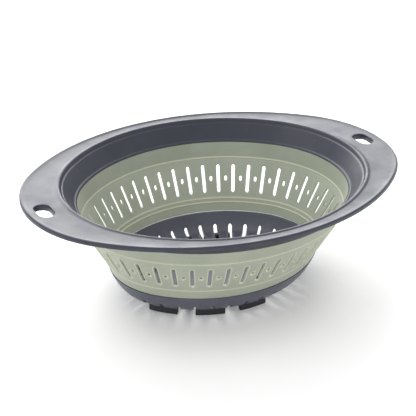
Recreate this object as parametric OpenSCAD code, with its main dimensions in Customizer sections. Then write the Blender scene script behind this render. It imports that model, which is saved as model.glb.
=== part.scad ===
// Collapsible oval colander: hard rim with two handles, folding soft wall, hard base, six feet.
// All sizes in millimetres. Origin: centre of the plane that the feet stand on, +Z up, +X to a handle.
// Every ring is a four-arc oval. b is the half width of a ring; its half length is b + 0.586 * ring_c.

/* [Oval rings] */
// Distance of the arc centres from the middle, bowl rings. ring_c and lip_c times (sqrt(2) - 1) have
// four decimals almost exactly, so that neighbouring arcs meet without a gap
ring_c = 35.6589; // [35.6589, 39.005]
// Distance of the arc centres from the middle, rim outline
lip_c = 78.01; // [71.3178, 78.01]
// Half width of the rim outline
lip_b = 138.7; // [132:0.1:145]

/* [Heights] */
// Top of the rounded crest round the bowl mouth
crest_z = 110.2; // [100:0.1:120]
// Middle of the upper fold
upper_fold_z = 75; // [70:0.5:80]
// Middle of the lower fold
lower_fold_z = 36; // [34:0.5:38]
// Joint between the soft wall and the base
base_top_z = 26; // [25:0.5:27]
// Height of the feet
foot_h = 6; // [4:0.1:7]

/* [Wall] */
// Number of long slots round the wall; as many short holes stand between them
slot_count = 44; // [36:4:52]
// Width of the long slots
slot_w = 3.4; // [2:0.1:6]
// Bottom of the long slots
slot_z0 = 42.8; // [41:0.1:50]
// Top of the long slots
slot_z1 = 68; // [60:0.1:69]
// Width of the short holes
hole_w = 2.8; // [2:0.1:4]
// Height of the short holes
hole_h = 4.8; // [3:0.1:8]
// Gap between parts that slide past each other
slide_gap = 0.4; // [0.3:0.05:0.8]

/* [Base] */
// Floor thickness
floor_t = 2.2; // [1.5:0.1:2.6]
// Number of slots round the base
base_slot_count = 34; // [26:4:42]
// Half width of the ring that the base slots start from
base_slot_b0 = 40; // [30:1:50]
// Height of the base slots' level outer ends, where they notch the side
base_slot_z1 = 14; // [12:0.1:15]
// Width of the base slots
base_slot_w = 3.8; // [2:0.1:6]

/* [Handles and feet] */
// Distance of each hang hole from the middle
hang_x = 168.5; // [160:0.5:172]
// Hang hole, size along the handle
hang_l = 14.6; // [10:0.1:18]
// Hang hole, size across the handle
hang_w = 25; // [18:0.5:30]
// Length of each foot along the ring
foot_l = 27; // [15:1:30]
// Outer half width of the feet ring
foot_b = 70; // [68:0.1:71]
// Radial width of the feet
foot_t = 5.4; // [3:0.1:8]

/* [Hidden] */
$fn = 128;
k_end = sqrt(2) - 1;
// half width of the upper fold ring's inner face, and of the band that passes through it
ring_in = 106.6;
band_out = ring_in - slide_gap;
// half width of the lower fold ring's outer face, and of the band that it passes through
low_out = 84.5;
band_in = low_out + slide_gap;
// angle that a foot takes up on each arc, to a fifth of a degree
foot_side_deg = round(foot_l / (foot_b - foot_t / 2 + ring_c) * 180 / PI * 5) / 5;
// directions of the second and third foot of a side, from the short axis
foot_2_deg = -21;
foot_3_deg = 2;
foot_end_deg = round(foot_l / (foot_b - foot_t / 2 - ring_c * k_end) * 180 / PI * 5) / 5;

// Cuts are spaced evenly along an oval. A quarter of it is 45 degrees of an end arc of radius r_end and
// 45 degrees of a side arc of radius r_side. first is the place of the first cut, 0 or half a pitch from
// the long axis. A cut on the end arc is given as degrees from the long axis, and one on the side arc as
// degrees from the short axis.
function pitch(b, count) = (b - ring_c * k_end + b + ring_c) * PI / count;
function places(b, count, first) = [for (i = [0 : floor(count / 4)]) (i + first) * pitch(b, count)];
function end_angles(b, count, first) = let (r = b - ring_c * k_end)
  [for (s = places(b, count, first)) if (s <= r * PI / 4) s / r * 180 / PI];
function side_angles(b, count, first) = let (r = b + ring_c, quarter = (b - ring_c * k_end + r) * PI / 4)
  [for (s = places(b, count, first)) if (quarter - s < r * PI / 4 && s < quarter + 0.01)
    (quarter - s) / r * 180 / PI];
// half widths of the ovals along which the wall's and the base's cuts are spaced
wall_b = 95.8;
slots_b = 74;
// wall of the collars turned down round the hang holes, and their depth below the crest
hang_t = 1.8;
hang_depth = 6.6;

// one arc of an oval sweep; the child is a 2D profile drawn at its half width. mid is the direction
// of the arc's middle, and a0 and a1 are its ends, counted from the middle
module end_arc(c, mid, a0, a1) {
  translate([mid == 0 ? c : -c, 0, 0]) rotate_extrude(angle = a1 - a0, start = mid + a0)
    translate([-c * k_end, 0]) children();
}
module side_arc(c, mid, a0, a1) {
  translate([0, mid == 90 ? -c : c, 0]) rotate_extrude(angle = a1 - a0, start = mid + a0)
    translate([c, 0]) children();
}
// full sweep round a four-arc oval
module oval_sweep(c) {
  union() {
    end_arc(c, 0, -45, 45) children();
    side_arc(c, 90, -45, 45) children();
    end_arc(c, 180, -45, 45) children();
    side_arc(c, 270, -45, 45) children();
  }
}
// solid oval plate of half width b
module oval_plate(b, c, z, h) {
  union() {
    for (m = [0, 180]) end_arc(c, m, -45, 45)
      translate([c * k_end, z]) square([b - c * k_end, h]);
    for (m = [90, 270]) side_arc(c, m, -45, 45) translate([-c, z]) square([b + c, h]);
  }
}
// long hole with round ends, drawn along y
module slot2d(w, y0, y1) {
  translate([-w / 2, y0 + w / 2]) square([w, y1 - y0 - w]);
  translate([0, y0 + w / 2]) circle(d = w);
  translate([0, y1 - w / 2]) circle(d = w);
}

// ---------------------------------------------------------------- hard rim
module rim_profile() {
  translate([0, crest_z]) polygon([[110, -20.1], [111.9, -18], [116, -12.6], [120.4, -6.6],
    [122.9, -3.1], [124.4, -1.2], [125.7, -0.2], [126.9, 0], [128.2, -0.3], [129.8, -1],
    [129.8, -3.6], [127.6, -4.4], [125, -5.8], [123.2, -7], [121.2, -9.15], [112.78, -20.1]]);
}
module lip_profile() {
  translate([lip_b, crest_z]) polygon([[-7.5, -1.2], [-5, -0.7], [-2.9, 0.4], [-1.6, 1.1],
    [-0.7, 1.1], [-0.15, 0.5], [0, -0.6], [-0.15, -1.8], [-0.8, -2.4], [-2.2, -2.6], [-3.2, -3.2],
    [-7.5, -3.4]]);
}
module rim_frame() {
  color([0.27, 0.28, 0.33]) difference() {
    union() {
      difference() {
        oval_plate(lip_b - 4, lip_c, crest_z - 3.4, 2.3);
        oval_plate(128.4, ring_c, crest_z - 5, 6);
      }
      oval_sweep(ring_c) rim_profile();
      oval_sweep(lip_c) lip_profile();
      for (s = [-1, 1]) translate([s * hang_x, 0, crest_z - hang_depth])
        linear_extrude(hang_depth - 2.1)
          slot2d(hang_l + 2 * hang_t, -hang_w / 2 - hang_t, hang_w / 2 + hang_t);
    }
    for (s = [-1, 1]) translate([s * hang_x, 0, crest_z - 10]) linear_extrude(20)
      slot2d(hang_l, -hang_w / 2, hang_w / 2);
  }
}
module rim_collar() {
  color([0.22, 0.22, 0.27]) oval_sweep(ring_c) translate([0, crest_z])
    polygon([[115.72, -18.9], [118.7, -15], [117.5, -13.96], [121.2, -9.15], [121.9, -10],
      [122.1, -12.2], [121.7, -15.2], [120.6, -17.3], [118.7, -18.5], [116.6, -18.95]]);
}

// ---------------------------------------------------------------- soft wall
module upper_wall_band() {
  z = crest_z;
  color([0.62, 0.66, 0.54]) oval_sweep(ring_c)
    polygon([[107.8, upper_fold_z + 3], [110, z - 20.1], [112.78, z - 20.1], [117.5, z - 13.96],
      [118.7, z - 15], [114.8, z - 20.1], [112.9, z - 22.6], [111.9, z - 25.2],
      [110.2, upper_fold_z + 3]]);
}
module upper_fold_ring() {
  z = upper_fold_z;
  color([0.68, 0.71, 0.58]) oval_sweep(ring_c)
    polygon([[ring_in, z - 2.6], [108.6, z - 3.2], [110.2, z - 2.2], [110.9, z - 0.4],
      [110.7, z + 1.6], [110.2, z + 3], [107.8, z + 3], [107, z + 2.2], [ring_in, z + 1.2]]);
}
// cutters through the wall at each place, the child being the hole's outline; x runs along the wall
module through_wall(first) {
  from = 80;
  reach = 34;
  for (m = [90, 270], g = [-1, 1], a = side_angles(wall_b, slot_count, first))
    rotate([0, 0, m]) translate([-ring_c, 0, 0]) rotate([0, 0, g * a])
      translate([from + ring_c, 0, 0]) rotate([90, 0, 90]) linear_extrude(reach) children();
  for (m = [0, 180], g = [-1, 1], a = end_angles(wall_b, slot_count, first))
    rotate([0, 0, m]) translate([ring_c, 0, 0]) rotate([0, 0, g * a])
      translate([from - ring_c * k_end, 0, 0]) rotate([90, 0, 90]) linear_extrude(reach) children();
}
module slotted_wall_band() {
  t = upper_fold_z;
  b = lower_fold_z;
  hole_z = (slot_z0 + slot_z1) / 2;
  color([0.62, 0.66, 0.54]) difference() {
    oval_sweep(ring_c) polygon([[band_out - 2.1, t + 1.4], [band_out, t + 1.4], [band_out, t - 3],
      [band_in + 2.3, b + 2.6], [band_in + 2.1, b - 0.6], [band_in, b - 0.6], [band_in, b + 3.6],
      [band_out - 2.3, t - 2.2]]);
    through_wall(0.5) slot2d(slot_w, slot_z0, slot_z1);
    through_wall(0) slot2d(hole_w, hole_z - hole_h / 2, hole_z + hole_h / 2);
  }
}
module lower_fold_ring() {
  z = lower_fold_z;
  color([0.68, 0.71, 0.58]) oval_sweep(ring_c)
    polygon([[82, z - 3.5], [84.1, z - 3.5], [low_out, z - 2.4], [low_out, z + 1.8],
      [84, z + 2.9], [83, z + 3.1], [82.1, z + 2.5], [81.9, z + 1]]);
}
module tongue() {
  translate([81.7, base_top_z - 1]) square([0.9, 3.6]);
}
module lower_wall_band() {
  color([0.62, 0.66, 0.54]) oval_sweep(ring_c) difference() {
    polygon([[80.8, base_top_z], [83.1, base_top_z], [84.1, lower_fold_z - 3.5],
      [82, lower_fold_z - 3.5]]);
    tongue();
  }
}

// ---------------------------------------------------------------- hard base
// cutter of one base slot, along y from the middle of its arc, open through the floor and the side up to
// base_slot_z1. shift is the arc's radius less the ring's half width
module base_slot(shift) {
  past_side = 92;
  translate([0, 0, foot_h - 2]) linear_extrude(base_slot_z1 - foot_h + 2)
    slot2d(base_slot_w, base_slot_b0 + shift, past_side + shift);
}
module base_shell() {
  f = foot_h;
  t = base_top_z;
  color([0.3, 0.31, 0.36]) difference() {
    union() {
      oval_plate(67, ring_c, f, floor_t);
      oval_sweep(ring_c) {
        polygon([[66, f], [69.5, f + 0.2], [72, f + 1.2], [74.6, f + 3.6], [77, f + 6.7],
          [79.2, f + 10.3], [81.2, f + 14.5], [82.3, t - 2.8], [83.1, t], [80.8, t], [79.9, t - 2.2],
          [79, f + 15.6], [77.1, f + 11.8], [75, f + 8.3], [72.8, f + 5.4], [70.6, f + 3.3],
          [68.6, f + 2.4], [66, f + floor_t]]);
        tongue();
      }
    }
    for (m = [90, 270], g = [-1, 1], a = side_angles(slots_b, base_slot_count, 0))
      rotate([0, 0, m]) translate([-ring_c, 0, 0]) rotate([0, 0, g * a - 90]) base_slot(ring_c);
    for (m = [0, 180], g = [-1, 1], a = end_angles(slots_b, base_slot_count, 0))
      rotate([0, 0, m]) translate([ring_c, 0, 0]) rotate([0, 0, g * a - 90])
        base_slot(-ring_c * k_end);
  }
}

// ---------------------------------------------------------------- feet
module foot_profile() {
  translate([foot_b - foot_t, 0]) polygon([[0.5, 0], [foot_t - 0.6, 0], [foot_t - 0.1, 0.5],
    [foot_t, foot_h], [0, foot_h], [0.05, 0.5]]);
}
module side_foot(mid, a) {
  color([0.1, 0.1, 0.12]) side_arc(ring_c, mid, a - foot_side_deg / 2, a + foot_side_deg / 2)
    foot_profile();
}
// a foot on the joint between an end arc and the side arc that follows it; mid is the side arc's direction
module joint_foot(mid) {
  color([0.1, 0.1, 0.12]) union() {
    end_arc(ring_c, mid - 90, 45 - foot_end_deg / 2, 45) foot_profile();
    side_arc(ring_c, mid, -45, foot_side_deg / 2 - 45) foot_profile();
  }
}
// three feet on each long side, the second side being the first one turned half round
module foot_01() { joint_foot(90); }
module foot_02() { side_foot(90, foot_2_deg); }
module foot_03() { side_foot(90, foot_3_deg); }
module foot_04() { joint_foot(270); }
module foot_05() { side_foot(270, foot_2_deg); }
module foot_06() { side_foot(270, foot_3_deg); }

rim_frame();
rim_collar();
upper_wall_band();
upper_fold_ring();
slotted_wall_band();
lower_fold_ring();
lower_wall_band();
base_shell();
foot_01();
foot_02();
foot_03();
foot_04();
foot_05();
foot_06();
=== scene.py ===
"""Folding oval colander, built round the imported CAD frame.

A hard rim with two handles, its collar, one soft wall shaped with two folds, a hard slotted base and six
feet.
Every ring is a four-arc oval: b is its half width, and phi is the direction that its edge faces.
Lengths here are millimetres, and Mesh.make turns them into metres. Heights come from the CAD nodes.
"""

import math

import bmesh
import bpy
import numpy as np
from mathutils import Matrix, Vector


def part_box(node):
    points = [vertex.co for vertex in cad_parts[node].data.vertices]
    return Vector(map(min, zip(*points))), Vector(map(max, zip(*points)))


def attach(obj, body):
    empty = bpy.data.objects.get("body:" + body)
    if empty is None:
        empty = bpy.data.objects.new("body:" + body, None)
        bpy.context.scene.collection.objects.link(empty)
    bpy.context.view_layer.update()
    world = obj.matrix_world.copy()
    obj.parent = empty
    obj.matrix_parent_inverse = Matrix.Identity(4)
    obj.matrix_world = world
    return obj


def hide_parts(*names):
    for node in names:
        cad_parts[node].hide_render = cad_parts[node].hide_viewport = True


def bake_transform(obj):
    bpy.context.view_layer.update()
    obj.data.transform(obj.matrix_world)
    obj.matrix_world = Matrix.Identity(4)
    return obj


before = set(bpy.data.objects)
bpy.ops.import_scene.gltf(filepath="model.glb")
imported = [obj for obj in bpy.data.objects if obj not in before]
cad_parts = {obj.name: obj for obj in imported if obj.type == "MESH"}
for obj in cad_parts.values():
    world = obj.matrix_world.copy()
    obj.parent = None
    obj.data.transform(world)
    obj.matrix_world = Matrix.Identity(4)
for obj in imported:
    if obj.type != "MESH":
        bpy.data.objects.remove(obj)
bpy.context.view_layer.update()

# plan shape, as in the CAD design
RING_C = 35.6589  # distance of the arc centres from the middle, bowl rings
LIP_C = 78.01  # the same for the rim's outline
LIP_B = 138.7  # half width of the rim's outline
K = math.sqrt(2) - 1


def heights(node):
    """Lowest and highest point of a CAD node, in millimetres."""
    lo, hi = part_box(node)
    return lo.z * 1000, hi.z * 1000


FOOT_H = heights("foot_01")[1]
BASE_TOP = heights("lower_wall_band")[0]
UPPER_FOLD = sum(heights("upper_fold_ring")) / 2
LOWER_FOLD = sum(heights("lower_fold_ring")) / 2
SKIRT_Z = heights("rim_frame")[0]
RIM_Z = heights("rim_frame")[1]


# ---------------------------------------------------------------- plan geometry
def oval(b, phi, c=RING_C):
    """x and y of the four-arc oval of half width b, where its edge faces phi."""
    cos, sin = np.cos(phi), np.sin(phi)
    side = np.abs(sin) > np.abs(cos)
    r = b + np.where(side, c, -c * K)
    return np.where(side, 0, c * np.sign(cos)) + r * cos, np.where(side, -c * np.sign(sin), 0) + r * sin


def half_width(x, y, c):
    """The half width of the oval that passes through x, y: the inverse of oval()."""
    x, y = np.abs(x), np.abs(y)
    return np.where(y < x - c, np.hypot(x - c, y) + c * K, np.hypot(x, y + c) - c)


def ring(b, z, phi, c=RING_C):
    """Points of the oval of half width b at height z."""
    x, y = oval(b, phi, c)
    return np.stack([x, y, z + 0 * x], -1)


def even_stations(b, count):
    """Directions of count places spaced evenly along the oval of half width b, the first at +X. Each comes
    with the directions half way to the place before it and to the one after it."""
    end, side = b - RING_C * K, b + RING_C
    quarter = (end + side) * math.pi / 4
    s = np.arange(-1, 2 * count) * 2 * quarter / count
    turns, rest = np.divmod(s, 2 * quarter)
    near = np.minimum(rest, 2 * quarter - rest)
    angle = np.where(near < end * math.pi / 4, near / end, math.pi / 4 + (near - end * math.pi / 4) / side)
    angle = math.pi * turns + np.where(rest > quarter, math.pi - angle, angle)
    return list(zip(angle[1::2], angle[0:-1:2], angle[2::2]))


def bend_radius(b, phi):
    """Radius of the arc that the bowl's oval of half width b follows at phi."""
    return b + np.where(np.abs(np.sin(phi)) > np.abs(np.cos(phi)), RING_C, -RING_C * K)


def soft(t, ts, values, r):
    """Straight lines through the points, with the corners rounded over a length r each way."""
    offsets = np.linspace(-r, r, 9)
    return np.mean([np.interp(t + o, ts, values) for o in offsets], axis=0)


def curve_through(points, per_span):
    """A Catmull-Rom curve through the points."""
    p = np.array(points, float)
    p = np.vstack([2 * p[0] - p[1], p, 2 * p[-1] - p[-2]])
    t = np.linspace(0, 1, per_span, endpoint=False)[:, None]
    out = [
        0.5 * (2 * b + (c - a) * t + (2 * a - 5 * b + 4 * c - d) * t**2 + (3 * b - a - 3 * c + d) * t**3)
        for a, b, c, d in zip(p, p[1:], p[2:], p[3:])
    ]
    return np.vstack(out + [p[-2:-1]])


class Mesh:
    """Collects faces by position and welds them into one mesh. A per-point value marks where a painted
    highlight is drawn in a paler tone.
    """

    def __init__(self):
        self.co, self.tint, self.faces, self.count = [], [], [], 0

    def grid(self, points, tint=0.0, closed=False):
        """points is rows x columns x 3; closed joins the last column to the first."""
        points = np.asarray(points, float)
        rows, cols = points.shape[:2]
        ids = self.count + np.arange(rows * cols).reshape(rows, cols)
        self.co.append(points.reshape(-1, 3))
        self.tint.append(np.broadcast_to(tint, (rows, cols)).ravel())
        self.count += rows * cols
        if closed:
            ids = np.hstack([ids, ids[:, :1]])
        quads = np.stack([ids[:-1, :-1], ids[:-1, 1:], ids[1:, 1:], ids[1:, :-1]], -1)
        self.faces += quads.reshape(-1, 4).tolist()

    def cap(self, loop):
        self.co.append(np.asarray(loop, float))
        self.tint.append(np.zeros(len(loop)))
        self.faces.append(list(range(self.count, self.count + len(loop))))
        self.count += len(loop)

    def make(self, name, material, sharp=35):
        mesh = bpy.data.meshes.new(name)
        mesh.from_pydata((np.vstack(self.co) * 0.001).tolist(), [], self.faces)
        # per-point strength of the painted highlight, which the wall material mixes towards its paler colour
        tint = mesh.attributes.new("tint", "FLOAT", "POINT")
        tint.data.foreach_set("value", np.concatenate(self.tint).astype(np.float32))
        bm = bmesh.new()
        bm.from_mesh(mesh)
        bmesh.ops.remove_doubles(bm, verts=bm.verts, dist=2e-6)
        bmesh.ops.recalc_face_normals(bm, faces=bm.faces)
        bm.to_mesh(mesh)
        bm.free()
        mesh.polygons.foreach_set("use_smooth", np.ones(len(mesh.polygons), bool))
        mesh.set_sharp_from_angle(angle=math.radians(sharp))
        mesh.materials.append(material)
        obj = bpy.data.objects.new(name, mesh)
        bpy.context.scene.collection.objects.link(obj)
        return obj


def edge_loop(grid):
    """The outline of a grid of points: last row reversed, so it runs once round."""
    return np.concatenate([grid[0, :-1], grid[:-1, -1], grid[-1, :0:-1], grid[:0:-1, 0]])


def slot_loop(across, along, corner, half_w, half_l):
    """A long hole with round ends, as many points as the outline of a grid of across x along faces.
    corner is how many faces of each long side belong to a round end."""
    straight = half_l - half_w
    turn = np.linspace(math.pi, 0, across + 2 * corner + 1)[:-1]
    end = np.stack([half_w * np.cos(turn), straight + half_w * np.sin(turn)], -1)
    n = along - 2 * corner
    side = np.stack([np.full(n, half_w), np.linspace(straight, -straight, n + 1)[:-1]], -1)
    loop = np.concatenate([end, side, -end, -side])
    return np.roll(loop, -corner, axis=0)


def pierce(mesh, edge, loops, place, fill):
    """Faces from a hole out to the outline edge. loops are (points, lift, painted highlight strength) from
    the hole outwards.
    Returns the points of the hole's own edge."""
    last = loops[-1][0]
    loops = loops + [(last + (edge - last) * k / fill, 0, 0) for k in range(1, fill + 1)]
    rings = [place(points, lift) for points, lift, _ in loops]
    mesh.grid(rings, np.array([tint for *_, tint in loops])[:, None], closed=True)
    return rings[0]


# ---------------------------------------------------------------- materials
def node_tree(name):
    material = bpy.data.materials.new(name)
    material.use_nodes = True
    nodes, links = material.node_tree.nodes, material.node_tree.links
    return material, nodes, links, nodes["Principled BSDF"]


def noise(nodes, links, coords, scale, detail, rough=0.5):
    n = nodes.new("ShaderNodeTexNoise")
    n.inputs["Scale"].default_value = scale
    n.inputs["Detail"].default_value = detail
    n.inputs["Roughness"].default_value = rough
    links.new(coords, n.inputs["Vector"])
    return n.outputs["Fac"]


def ramp(nodes, links, value, lo, hi, low, high):
    """Maps value from lo..hi to low..high, numbers or colours."""
    if isinstance(low, (int, float)):
        m = nodes.new("ShaderNodeMapRange")
        for socket, v in zip(("From Min", "From Max", "To Min", "To Max"), (lo, hi, low, high)):
            m.inputs[socket].default_value = v
        links.new(value, m.inputs["Value"])
        return m.outputs["Result"]
    r = nodes.new("ShaderNodeValToRGB")
    r.color_ramp.elements[0].position, r.color_ramp.elements[1].position = lo, hi
    r.color_ramp.elements[0].color, r.color_ramp.elements[1].color = (*low, 1), (*high, 1)
    links.new(value, r.inputs["Fac"])
    return r.outputs["Color"]


def mix(nodes, links, fac, a, b, blend="MIX"):
    m = nodes.new("ShaderNodeMix")
    m.data_type, m.blend_type = "RGBA", blend
    for value, socket in ((fac, m.inputs[0]), (a, m.inputs[6]), (b, m.inputs[7])):
        if isinstance(value, bpy.types.NodeSocket):
            links.new(value, socket)
        else:
            socket.default_value = value if isinstance(value, float) else (*value, 1)
    return m.outputs[2]


def moulded(name, dark, light, rough, grain, highlight_colour=None, sheen=0.0, worn=None):
    """A moulded plastic or rubber: blotches, speckle, uneven gloss, moulded grain, wear on the edges and,
    where a colour is given, a painted highlight in that paler colour on marked points.
    """
    material, nodes, links, bsdf = node_tree(name)
    coords = nodes.new("ShaderNodeTexCoord").outputs["Object"]
    blotch = noise(nodes, links, coords, 26, 3)
    speck = noise(nodes, links, coords, 900, 2)
    colour = ramp(nodes, links, blotch, 0.35, 0.65, dark, light)
    shade = ramp(nodes, links, speck, 0.3, 0.7, (0.94, 0.94, 0.94), (1.05, 1.05, 1.05))
    colour = mix(nodes, links, 1.0, colour, shade, "MULTIPLY")
    if worn:
        pointy = nodes.new("ShaderNodeNewGeometry").outputs["Pointiness"]
        rubbed = ramp(nodes, links, pointy, 0.52, 0.60, 0.0, 1.0)
        patchy = ramp(nodes, links, noise(nodes, links, coords, 60, 4), 0.4, 0.6, 0.0, 0.8)
        both = nodes.new("ShaderNodeMath")
        both.operation = "MULTIPLY"
        links.new(rubbed, both.inputs[0])
        links.new(patchy, both.inputs[1])
        colour = mix(nodes, links, both.outputs[0], colour, worn)
    # painted highlight: mixes towards a paler colour where the mesh's per-point value is high
    if highlight_colour:
        tint = nodes.new("ShaderNodeAttribute")
        tint.attribute_name = "tint"
        colour = mix(nodes, links, tint.outputs["Fac"], colour, highlight_colour)
    links.new(colour, bsdf.inputs["Base Color"])
    smear = noise(nodes, links, coords, 45, 4, 0.6)
    links.new(ramp(nodes, links, smear, 0.3, 0.7, rough - 0.05, rough + 0.07), bsdf.inputs["Roughness"])
    fine = nodes.new("ShaderNodeBump")
    fine.inputs["Strength"].default_value = 0.6
    fine.inputs["Distance"].default_value = grain
    links.new(noise(nodes, links, coords, 2400, 2), fine.inputs["Height"])
    sink = nodes.new("ShaderNodeBump")
    sink.inputs["Strength"].default_value = 0.5
    sink.inputs["Distance"].default_value = 0.0002
    links.new(noise(nodes, links, coords, 30, 2), sink.inputs["Height"])
    links.new(sink.outputs["Normal"], fine.inputs["Normal"])
    links.new(fine.outputs["Normal"], bsdf.inputs["Normal"])
    bsdf.inputs["Sheen Weight"].default_value = sheen
    bsdf.inputs["Sheen Roughness"].default_value = 0.4
    return material


RIM_PLASTIC = moulded(
    "rim_plastic", (0.018, 0.021, 0.037), (0.023, 0.026, 0.046), 0.42, 0.00003, worn=(0.05, 0.054, 0.075)
)
COLLAR_PLASTIC = moulded("collar_plastic", (0.028, 0.026, 0.034), (0.035, 0.033, 0.043), 0.45, 0.00003)
BASE_PLASTIC = moulded("base_plastic", (0.075, 0.078, 0.105), (0.09, 0.094, 0.125), 0.42, 0.00004)
# the paler colour is a painted highlight along the wall's raised fold lines and the raised lips round its
# slots
WALL_RUBBER = moulded(
    "wall_rubber", (0.33, 0.36, 0.285), (0.37, 0.4, 0.32), 0.5, 0.00004, highlight_colour=(0.57, 0.58, 0.43), sheen=0.1
)
FOOT_RUBBER = moulded("foot_rubber", (0.012, 0.012, 0.015), (0.02, 0.02, 0.024), 0.6, 0.00004)


# ---------------------------------------------------------------- soft wall
FOLD_LINE = 0.5  # height of the raised lines along the folds
# heights of the raised lines, outside and inside; the lower fold has two lines inside
LINES = {
    True: (UPPER_FOLD + 0.3, LOWER_FOLD + 0.4),
    False: (UPPER_FOLD - 0.2, LOWER_FOLD + 2.2, LOWER_FOLD - 1.6),
}
PIERCED_Z0, PIERCED_Z1 = 40, 71  # zone of the wall that holds the slots
SMOOTHING = 1.6  # length over which the wall's bends are rounded, each way
WALL_T = 2.1  # level distance between the wall's two faces, below the flare
SLOT_COUNT, WALL_MIDDLE_B = 44, 95.8  # slots, with as many holes between; half width they are spaced at
SLOT_W, SLOT_Z0, SLOT_Z1 = 3.4, 42.8, 68  # long slots of the wall
HOLE_W, HOLE_H = 2.8, 4.8  # short holes between them
WALL_INNER = (
    [BASE_TOP - 3, BASE_TOP, LOWER_FOLD, UPPER_FOLD, SKIRT_Z, SKIRT_Z + 6],
    [79.5, 80.8, 84.8, 106.8, 110, 111.2],
)
# how far the outer face spreads, from SKIRT_Z, on its way into the collar
FLARE = ([-6, -2.6, -1, 0.4, 2.9], [0, 0.5, 1.7, 3.4, 5.6])


def wall_line(z, centres, width=0.5):
    """Smooth bumps, 1 high, at the centres."""
    return sum(np.exp(-(((z - c) / width) ** 2)) for c in centres)


def wall_face(outer, z, phi, lift=0.0):
    """A point on the wall's inner or outer face, raised from it by lift."""
    b = soft(z, *WALL_INNER, SMOOTHING)
    raised = FOLD_LINE * wall_line(z, LINES[outer]) + lift
    if outer:
        return ring(b + WALL_T + np.interp(z - SKIRT_Z, *FLARE) + raised, z, phi)
    return ring(b - raised, z, phi)


def line_tint(outer, z):
    """How strong the painted highlight is at height z, between 0 away from the wall's raised lines and 0.9 on
    them.
    """
    return 0.9 * wall_line(z, LINES[outer], 0.8)


def cell_columns(cell, n=3):
    """Directions of the columns of a cell (its middle, start and end), n on each side of the middle."""
    mid, start, end = cell
    return np.append(np.linspace(start, mid, n, endpoint=False), np.linspace(mid, end, n + 1))


def make_wall():
    mesh = Mesh()
    cells = even_stations(WALL_MIDDLE_B, 2 * SLOT_COUNT)
    phi = np.concatenate([cell_columns(c)[:-1] for c in cells])
    # heights of the rows, closest together at the folds
    rows = np.linspace(PIERCED_Z1, PIERCED_Z0, 15)
    fold_rows = np.linspace(78.4, 72, 17)
    above = np.concatenate([np.linspace(SKIRT_Z + 1.9, 79, 14), fold_rows, [71.5, PIERCED_Z1]])
    below = np.concatenate([np.linspace(PIERCED_Z0, 32, 19), np.linspace(31.2, BASE_TOP + 0.1, 5)])
    for outer in (False, True):
        top = above if outer else np.append(SKIRT_Z, above[above < SKIRT_Z - 0.3])
        for zs in (top, below):
            grid = np.array([wall_face(outer, np.full_like(phi, z), phi) for z in zs])
            mesh.grid(grid, line_tint(outer, zs)[:, None], closed=True)
    bottom = [wall_face(outer, np.full_like(phi, below[-1]), phi) for outer in (False, True)]
    mesh.grid(bottom, closed=True)
    crown = ((False, SKIRT_Z), (True, above[0]))
    mesh.grid([wall_face(outer, np.full_like(phi, z), phi) for outer, z in crown], closed=True)
    # edges of a cut, from the cut outwards: distance from it, lift off the wall and strength of the painted
    # highlight
    lips = ((0.0, -0.1, 0.3), (0.12, 0.2, 0.8), (0.4, 0.42, 1.0), (0.75, 0.32, 1.0), (1.0, 0.0, 0.2))
    insides = ((0.0, -0.3, 0.0), (0.1, -0.1, 0.0), (0.3, 0.0, 0.0))
    for i, cell in enumerate(cells):
        cols = cell_columns(cell)
        slot = i % 2 == 1
        z_mid = (SLOT_Z0 + SLOT_Z1) / 2
        if slot:
            block, faces, half_w, half_l = rows, (6, 14, 2), SLOT_W / 2, (SLOT_Z1 - SLOT_Z0) / 2
        else:
            block, faces, half_w, half_l = rows[5:10], (6, 4, 1), HOLE_W / 2, HOLE_H / 2
        edges = []
        for outer in (False, True):
            if not slot:
                for part in (rows[:6], rows[9:]):
                    mesh.grid([wall_face(outer, np.full_like(cols, z), cols) for z in part])

            def place(points, lift, outer=outer, mid=cell[0], z_mid=z_mid):
                z = points[:, 1] + z_mid
                b = soft(z, *WALL_INNER, SMOOTHING)
                radius = bend_radius(b, mid + np.sign(points[:, 0]) * 1e-3)
                return wall_face(outer, z, mid + points[:, 0] / radius, lift)

            zz, pp = np.meshgrid(block, cols, indexing="ij")
            radius = bend_radius(soft(zz, *WALL_INNER, SMOOTHING), cell[0] + np.sign(pp - cell[0]) * 1e-3)
            edge = edge_loop(np.stack([(pp - cell[0]) * radius, zz - z_mid], -1))
            turns = lips if outer else insides
            loops = [(slot_loop(*faces, half_w + d, half_l + d), lift, tint) for d, lift, tint in turns]
            edges.append(pierce(mesh, edge, loops, place, 3))
        mesh.grid(edges, closed=True)
    return mesh.make("soft_wall", WALL_RUBBER, sharp=50)


# ---------------------------------------------------------------- rim
CREST = RIM_Z - 1.1  # top of the crest round the mouth
# half width and height from the crest of the bowl side of the rim, from its foot up, and of its back, down
RIM_INSIDE = [
    (111.6, -20.05), (110.5, -20.05), (110.05, -19.7), (110.5, -19.1), (111.3, -18.2), (112.2, -17.8),
    (113.1, -16.9), (116.2, -12.7), (119.3, -8.5), (122, -4.8), (122.7, -4.1), (123.5, -3.7), (124.2, -2.7),
    (124.9, -1.3), (125.8, -0.3), (126.9, 0), (128, -0.3), (129, -0.7),
]  # fmt: skip
RIM_BACK = [(128.3, -3.6), (126.5, -4.6), (125, -5.8), (123.2, -7.2), (121.1, -9.3), (112.9, -20.05)]
HANG_X, HANG_L, HANG_W = 168.5, 14.6, 25  # hang hole: place, size along the handle and across it
# turned edge of the hang hole, as distance out from the hole and drop below the flange: its rounded upper
# lip, and below the flange the collar that it is turned down into
HANG_LIP = [(0, 0.8), (0.12, 0.4), (0.4, 0.12), (0.8, 0)]
HANG_COLLAR = [(0, 3.2), (0.3, 3.5), (1.4, 3.5), (1.7, 3.2), (1.8, 0.6), (2.3, 0)]
RIM_COLUMNS = 288


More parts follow.
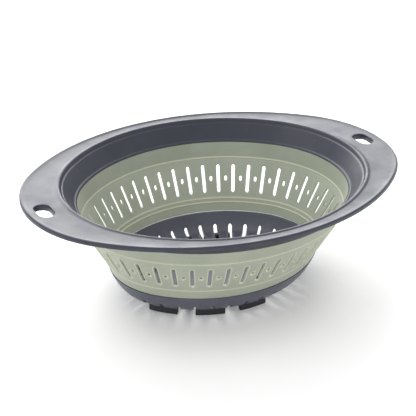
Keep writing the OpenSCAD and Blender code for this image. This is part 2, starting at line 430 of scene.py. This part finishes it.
def flange_top(x, y):
    """Height of the flange's upper face: a shallow dish between the crest and the raised lip."""
    inner = np.maximum(half_width(x, y, RING_C) - 129, 0)
    outer = np.maximum(LIP_B - half_width(x, y, LIP_C), 0)
    s = inner / (inner + outer + 1e-6)
    dish = np.clip(0.2 + 0.015 * (inner + outer), 0, 0.7)
    lip = 0.55 * np.exp(-(((outer - 1.9) / 1.6) ** 2))
    edge = np.sqrt(np.maximum(1.3**2 - np.maximum(1.3 - outer, 0) ** 2, 0)) - 1.3
    return CREST - 0.7 + 1.1 * s - dish * np.sin(math.pi * s) + lip + edge


def flange_under(x, y):
    """Height of the flange's lower face, which follows the upper one and thickens at the lip."""
    outer = np.maximum(LIP_B - half_width(x, y, LIP_C), 0)
    edge = np.sqrt(np.maximum(1.1**2 - np.maximum(1.1 - outer, 0) ** 2, 0)) - 1.1
    return flange_top(x, y) - 2.3 - 1.2 * np.exp(-((outer / 3) ** 2)) - edge


def flange_plan(s, phi):
    """Plan position at s of the way from the crest to the start of the rounded lip."""
    x0, y0 = oval(129, phi)
    x1, y1 = oval(LIP_B - 3, phi, LIP_C)
    return x0 + (x1 - x0) * s, y0 + (y1 - y0) * s


def make_rim():
    """The mouth's wall and crest, the flange with its two hang holes, and the back down to the rim's foot."""
    mesh = Mesh()
    phi = np.linspace(0, 2 * math.pi, RIM_COLUMNS, endpoint=False)
    half = 7  # columns each side of the handle's middle that the hang hole takes
    inside = curve_through(RIM_INSIDE[2:], 3)
    inside = np.vstack([RIM_INSIDE[:2], inside])
    mesh.grid([ring(b, CREST + z, phi) for b, z in inside], closed=True)
    steps = np.array([0, 0.07, 0.14, 0.22, 0.31, 0.4, 0.49, 0.58, 0.68, 0.79, 0.9, 0.95, 1])
    block = slice(3, 11)  # steps that the hang hole takes
    lip = [2.4, 1.9, 1.4, 1, 0.7, 0.4, 0.2, 0.07, 0]
    xy = np.array([flange_plan(s, phi) for s in steps] + [oval(LIP_B - d, phi, LIP_C) for d in lip])
    for height in (flange_top, flange_under):
        grid = np.stack([xy[:, 0], xy[:, 1], height(xy[:, 0], xy[:, 1])], -1)
        grid = np.roll(grid, half, axis=1)
        n_half = RIM_COLUMNS // 2
        for part in (grid[:, : 2 * half + 1], grid[:, n_half : n_half + 2 * half + 1]):
            mesh.grid(part[: block.start + 1])
            mesh.grid(part[block.stop - 1 :])
        wide = np.concatenate([grid, grid[:, :1]], axis=1)
        mesh.grid(wide[:, 2 * half : n_half + 1])
        mesh.grid(wide[:, n_half + 2 * half :])
    tip = oval(LIP_B, 0.0, LIP_C)
    lip_heights = (flange_top(*tip), RIM_Z - 1.9, flange_under(*tip))
    mesh.grid([ring(LIP_B, z, phi, LIP_C) for z in lip_heights], closed=True)
    for sign in (1, -1):
        angles = np.linspace(half, -half, 2 * half + 1) * 2 * math.pi / RIM_COLUMNS
        plan = np.array([flange_plan(s, angles) for s in steps[block]])
        edge = edge_loop(np.transpose(plan, (2, 0, 1)) - [HANG_X, 0])
        edges = []
        for height, turns in ((flange_top, HANG_LIP), (flange_under, HANG_COLLAR)):

            def place(points, drop, height=height, sign=sign):
                x, y = (points[:, 0] + HANG_X) * sign, points[:, 1]
                return np.stack([x, y, height(x, y) - drop], -1)

            loops = [(slot_loop(7, 14, 3, HANG_L / 2 + d, HANG_W / 2 + d), drop, 0) for d, drop in turns]
            edges.append(pierce(mesh, edge, loops, place, 2))
        mesh.grid(edges, closed=True)
    back = curve_through(RIM_BACK, 3)
    start = np.stack([*flange_plan(0, phi), flange_under(*flange_plan(0, phi))], -1)
    back = [ring(b, CREST + z, phi) for b, z in np.vstack([back, RIM_INSIDE[:1]])]
    mesh.grid([start] + back, closed=True)
    return mesh.make("rim", RIM_PLASTIC, sharp=60)


def make_collar():
    # half width and height from the crest, once round the collar's section
    outline = [
        (115.8, -18.7), (116.6, -18.95), (118, -18.85), (119.3, -18.4), (120.5, -17.4), (121.3, -15.9),
        (121.8, -14), (122, -12.2), (121.9, -10.6), (121.3, -9.6), (120.4, -9.2), (119.2, -10.2),
        (117.6, -12.2),
    ]  # fmt: skip
    mesh = Mesh()
    phi = np.linspace(0, 2 * math.pi, RIM_COLUMNS, endpoint=False)
    curve = curve_through(outline, 2)
    rows = [ring(b, CREST + z, phi) for b, z in curve]
    mesh.grid(rows + rows[:1], closed=True)
    return mesh.make("collar", COLLAR_PLASTIC, sharp=60)


# ---------------------------------------------------------------- base
BASE_SLOTS, BASE_SLOT_W = 34, 3.8
BASE_SLOT_B0, BASE_SLOT_B1 = 40, (74.8, 77.8)  # half width they start at, and end at inside and outside
SLOTS_EVEN_B = 74  # half width that they are evenly spaced at
# half width and height above the feet of the base's faces, from the flat floor out to the wall
BASE_OUTER = [
    (30, 0), (66, 0), (69.5, 0.2), (72, 1.2), (74.6, 3.6), (77, 6.7), (79.2, 10.3), (81.2, 14.5),
    (82.3, 17.2), (83.1, 20),
]  # fmt: skip
BASE_INNER = [
    (30, 2.2), (66, 2.2), (68.6, 2.4), (70.6, 3.3), (72.8, 5.4), (75, 8.3), (77.1, 11.8), (79, 15.6),
    (79.9, 17.8), (80.8, 20),
]  # fmt: skip


def base_face(outer, b, phi, lift=0.0):
    """A point of the base's inner or outer face above half width b, raised from it by lift."""
    bs, zs = zip(*(BASE_OUTER if outer else BASE_INNER))
    z = FOOT_H + soft(b, bs, zs, 1.0) - lift * (1 if outer else -1)
    x, y = oval(b, phi)
    return np.stack([x, y, z + 0 * x], -1)


def make_base():
    """The plain middle of the floor, a ring of slotted cells and the plain side up to the wall."""
    mesh = Mesh()
    cells = even_stations(SLOTS_EVEN_B, BASE_SLOTS)
    phi = np.concatenate([cell_columns(c, 2)[:-1] for c in cells])
    rows = np.linspace(79.5, 37, 18)
    top = {False: BASE_INNER[-1][0], True: BASE_OUTER[-1][0]}
    for outer in (False, True):
        middle = base_face(outer, np.full_like(phi, rows[-1]), phi)
        shrink = np.linspace(1, 0.04, 9)[:, None, None]
        mesh.grid(middle * [1, 1, 0] * shrink + middle * [0, 0, 1], closed=True)
        mesh.cap(middle * [0.04, 0.04, 1])
        climb = np.linspace(rows[0], top[outer], 9)
        mesh.grid([base_face(outer, np.full_like(phi, b), phi) for b in climb], closed=True)
    joint = [base_face(outer, np.full_like(phi, top[outer]), phi) for outer in (False, True)]
    mesh.grid(joint, closed=True)
    for cell in cells:
        bb, pp = np.meshgrid(rows, cell_columns(cell, 2), indexing="ij")
        edges = []
        for outer in (False, True):
            b_end = BASE_SLOT_B1[outer]
            b_mid, half_l = (BASE_SLOT_B0 + b_end) / 2, (b_end - BASE_SLOT_B0) / 2
            edge = edge_loop(np.stack([(pp - cell[0]) * bend_radius(bb, cell[0]), bb - b_mid], -1))

            def place(points, lift, outer=outer, mid=cell[0], b_mid=b_mid):
                b = points[:, 1] + b_mid
                return base_face(outer, b, mid + points[:, 0] / bend_radius(b, mid), lift)

            loops = [
                (slot_loop(4, len(rows) - 1, 3, BASE_SLOT_W / 2 + d, half_l + d), lift, 0)
                for d, lift in ((0, -0.35), (0.1, -0.12), (0.3, 0))
            ]
            edges.append(pierce(mesh, edge, loops, place, 2))
        mesh.grid(edges, closed=True)
    return mesh.make("base", BASE_PLASTIC, sharp=50)


# ---------------------------------------------------------------- feet
# outer half width of the feet's ring, then the width, length and edge rounding of a foot
FOOT_B, FOOT_T, FOOT_L, FOOT_ROUND = 70, 5.4, 27, 0.7


def make_foot(node, phi):
    """One short curved foot with rounded edges, centred where the ring faces phi."""
    centre_b, top = FOOT_B - FOOT_T / 2, FOOT_H + 0.3
    half = np.array([FOOT_T / 2, top / 2])
    turn = np.radians([a for q in (0, 90, 180, 270) for a in np.linspace(q + 6, q + 84, 5)])
    corner = np.sign(np.stack([np.cos(turn), np.sin(turn)], -1)) * (half - FOOT_ROUND)
    profile = corner + FOOT_ROUND * np.stack([np.cos(turn), np.sin(turn)], -1)
    along = np.concatenate([[0, 0.1, 0.35, 0.8], np.linspace(2, FOOT_L / 2, 8)])
    inset = np.concatenate([[0.7, 0.35, 0.1, 0], np.zeros(8)])
    along = np.concatenate([along - FOOT_L / 2, (FOOT_L / 2 - along)[-2::-1]])
    inset = np.concatenate([inset, inset[-2::-1]])
    mesh = Mesh()
    rows = []
    for s, d in zip(along, inset):
        section = profile * (half - d) / half
        radius = bend_radius(centre_b, phi + math.copysign(1e-3, s))
        direction = np.full(len(section), phi + s / radius)
        rows.append(ring(centre_b + section[:, 0], section[:, 1] + top / 2, direction))
    mesh.grid(rows, closed=True)
    mesh.cap(rows[0])
    mesh.cap(rows[-1])
    foot = mesh.make(node.replace("foot", "rubber_foot"), FOOT_RUBBER, sharp=60)
    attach(foot, "base")
    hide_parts(node)


# ---------------------------------------------------------------- assembly
wall = make_wall()
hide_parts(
    "upper_wall_band", "upper_fold_ring", "slotted_wall_band", "lower_fold_ring", "lower_wall_band"
)
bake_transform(wall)

rim = make_rim()
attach(rim, "rim")
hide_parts("rim_frame")

collar = make_collar()
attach(collar, "rim")
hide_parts("rim_collar")

base = make_base()
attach(base, "base")
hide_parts("base_shell")

FOOT_ANGLES = [45, 69, 92]  # one side's feet, which the other side has turned half round
for number, angle in enumerate(FOOT_ANGLES + [a + 180 for a in FOOT_ANGLES], 1):
    make_foot(f"foot_{number:02d}", math.radians(angle))


# ---------------------------------------------------------------- floor, light and camera
def make_floor():
    bpy.ops.mesh.primitive_plane_add(size=12)
    floor = bpy.context.object
    floor.name = "floor"
    material, nodes, links, bsdf = node_tree("floor_white")
    bsdf.inputs["Base Color"].default_value = (0.98, 0.98, 0.98, 1)
    bsdf.inputs["Roughness"].default_value = 0.9
    floor.data.materials.append(material)


def area_light(name, place, size, power):
    light = bpy.data.lights.new(name, "AREA")
    light.shape, light.size, light.energy = "DISK", size, power
    obj = bpy.data.objects.new(name, light)
    obj.location = place
    obj.rotation_mode = "QUATERNION"
    obj.rotation_quaternion = (Vector((0, 0, 0.06)) - obj.location).to_track_quat("-Z", "Y")
    bpy.context.scene.collection.objects.link(obj)


def make_world():
    world = bpy.data.worlds.new("studio")
    world.use_nodes = True
    world.node_tree.nodes["Background"].inputs["Color"].default_value = (1, 1, 1, 1)
    world.node_tree.nodes["Background"].inputs["Strength"].default_value = 1.0
    bpy.context.scene.world = world


def make_camera():
    """Looks along the photograph's direction. turn is counted from the short axis and rise from level."""
    turn, rise, roll = math.radians(29.2), math.radians(25.21), math.radians(-0.67)
    distance, lens_ratio = 1.0296, 2.66226  # lens_ratio is the focal length over the sensor's width
    back = Vector((-math.cos(rise) * math.sin(turn), -math.cos(rise) * math.cos(turn), math.sin(rise)))
    camera = bpy.data.objects.new("camera", bpy.data.cameras.new("camera"))
    camera.data.lens = lens_ratio * camera.data.sensor_width
    camera.data.shift_x, camera.data.shift_y = -0.016827, -0.08774
    camera.location = Vector((0, 0, CREST / 1000)) + back * distance
    camera.rotation_mode = "QUATERNION"
    level = (-back).to_track_quat("-Z", "Y")
    camera.rotation_quaternion = level @ Matrix.Rotation(-roll, 3, "Z").to_quaternion()
    bpy.context.scene.collection.objects.link(camera)
    bpy.context.scene.camera = camera


make_floor()
make_world()
area_light("back_sky", (0.5, 1.8, 1.1), 2.4, 62)
area_light("key", (-1.6, 0.3, 2.0), 2.0, 12)
make_camera()
bpy.context.scene.view_settings.view_transform = "Standard"
